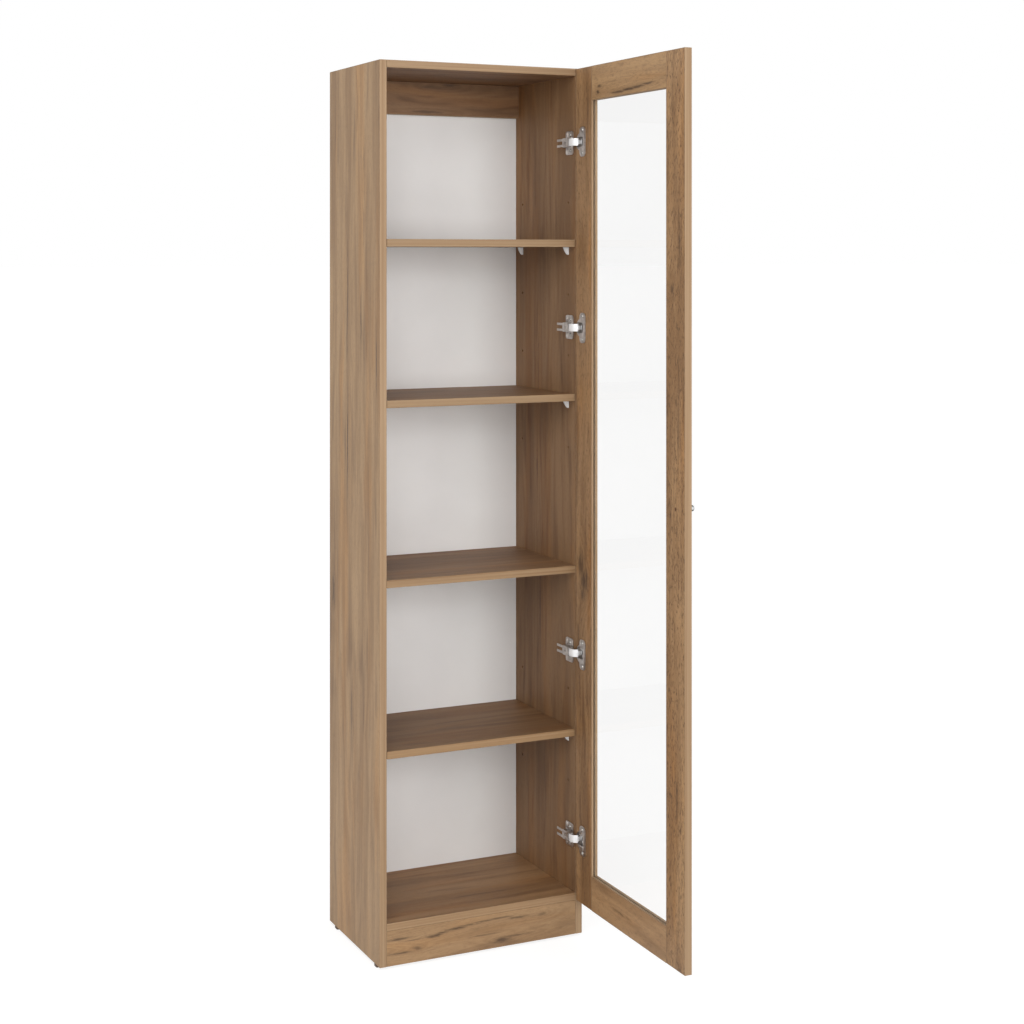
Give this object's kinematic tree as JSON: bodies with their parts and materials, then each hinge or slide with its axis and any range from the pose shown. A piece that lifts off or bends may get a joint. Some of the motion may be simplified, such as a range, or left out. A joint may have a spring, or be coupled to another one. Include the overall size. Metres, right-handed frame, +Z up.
{
  "type": "bookcase with glass door",
  "caption": "Tall narrow open-front bookcase with shelves and one framed glass door on concealed cup hinges.",
  "frame": {"origin": "on the floor, under the middle of the whole object with its door open at almost a right angle", "axes": "+Z up, -Y out of the open front, +X towards the side panel that carries the door"},
  "size_m": [0.4692, 0.74, 1.8],
  "materials": {
    "oak_board": "brown oak grain with a satin lacquer",
    "back_board": "thin board, painted off-white",
    "glass": "clear float glass",
    "seal": "matt brown glazing strip",
    "white_plastic": "white, slightly glossy",
    "brown_plastic": "dark brown, matt",
    "nickel": "nickel-plated pressed steel",
    "bright_steel": "bright plated steel",
    "chrome": "polished chrome"
  },
  "bodies": {
    "carcass": {"left_side_panel": "oak_board", "right_side_panel": "oak_board", "top_panel": "oak_board", "bottom_panel": "oak_board", "kick_board": "oak_board", "back_rail": "oak_board", "back_panel": "back_board", "fixed_shelf": "oak_board", "loose_shelf_upper": "oak_board", "loose_shelf_middle": "oak_board", "loose_shelf_lower": "oak_board", "glide_left_front": "brown_plastic", "glide_left_rear": "brown_plastic", "glide_right_front": "brown_plastic", "glide_right_rear": "brown_plastic", "shelf_support_upper_left_front": "white_plastic", "shelf_support_upper_left_rear": "white_plastic", "shelf_support_upper_right_front": "white_plastic", "shelf_support_upper_right_rear": "white_plastic", "shelf_support_middle_left_front": "white_plastic", "shelf_support_middle_left_rear": "white_plastic", "shelf_support_middle_right_front": "white_plastic", "shelf_support_middle_right_rear": "white_plastic", "shelf_support_lower_left_front": "white_plastic", "shelf_support_lower_left_rear": "white_plastic", "shelf_support_lower_right_front": "white_plastic", "shelf_support_lower_right_rear": "white_plastic", "hinge_top_plate": "nickel", "hinge_upper_plate": "nickel", "hinge_lower_plate": "nickel", "hinge_bottom_plate": "nickel", "hinge_top_arm": "nickel", "hinge_upper_arm": "nickel", "hinge_lower_arm": "nickel", "hinge_bottom_arm": "nickel"},
    "inner_links": {"hinge_top_inner_link": "nickel", "hinge_upper_inner_link": "nickel", "hinge_lower_inner_link": "nickel", "hinge_bottom_inner_link": "nickel"},
    "door": {"door_hinge_stile": "oak_board", "door_handle_stile": "oak_board", "door_top_rail": "oak_board", "door_bottom_rail": "oak_board", "glass_pane": "glass", "glazing_seal": "seal", "knob": "chrome", "knob_screw": "nickel", "hinge_top_cup": "nickel", "hinge_upper_cup": "nickel", "hinge_lower_cup": "nickel", "hinge_bottom_cup": "nickel"},
    "outer_links": {"hinge_top_outer_link": "bright_steel", "hinge_upper_outer_link": "bright_steel", "hinge_lower_outer_link": "bright_steel", "hinge_bottom_outer_link": "bright_steel"}
  },
  "joints": [
    {"name": "inner_links_on_arms", "type": "hinge", "parent": "carcass", "child": "inner_links", "pos_m": [0.19179, 0.07999, 0.9], "axis": [0, 0, 1], "range_deg": [-3, 25.22]},
    {"name": "door_swing", "type": "hinge", "parent": "inner_links", "child": "door", "pos_m": [0.20246, 0.06922, 0.9], "axis": [0, 0, 1], "range_deg": [-114.61, 13.58]},
    {"name": "outer_links_in_cups", "type": "hinge", "parent": "door", "child": "outer_links", "pos_m": [0.20846, 0.06936, 0.9], "axis": [0, 0, 1], "range_deg": [-10.14, 85.48]}
  ],
  "couplings": [
    {"joint": "inner_links_on_arms", "follows": "door_swing", "ratio": -0.21997},
    {"joint": "outer_links_in_cups", "follows": "door_swing", "ratio": -0.74571}
  ]
}
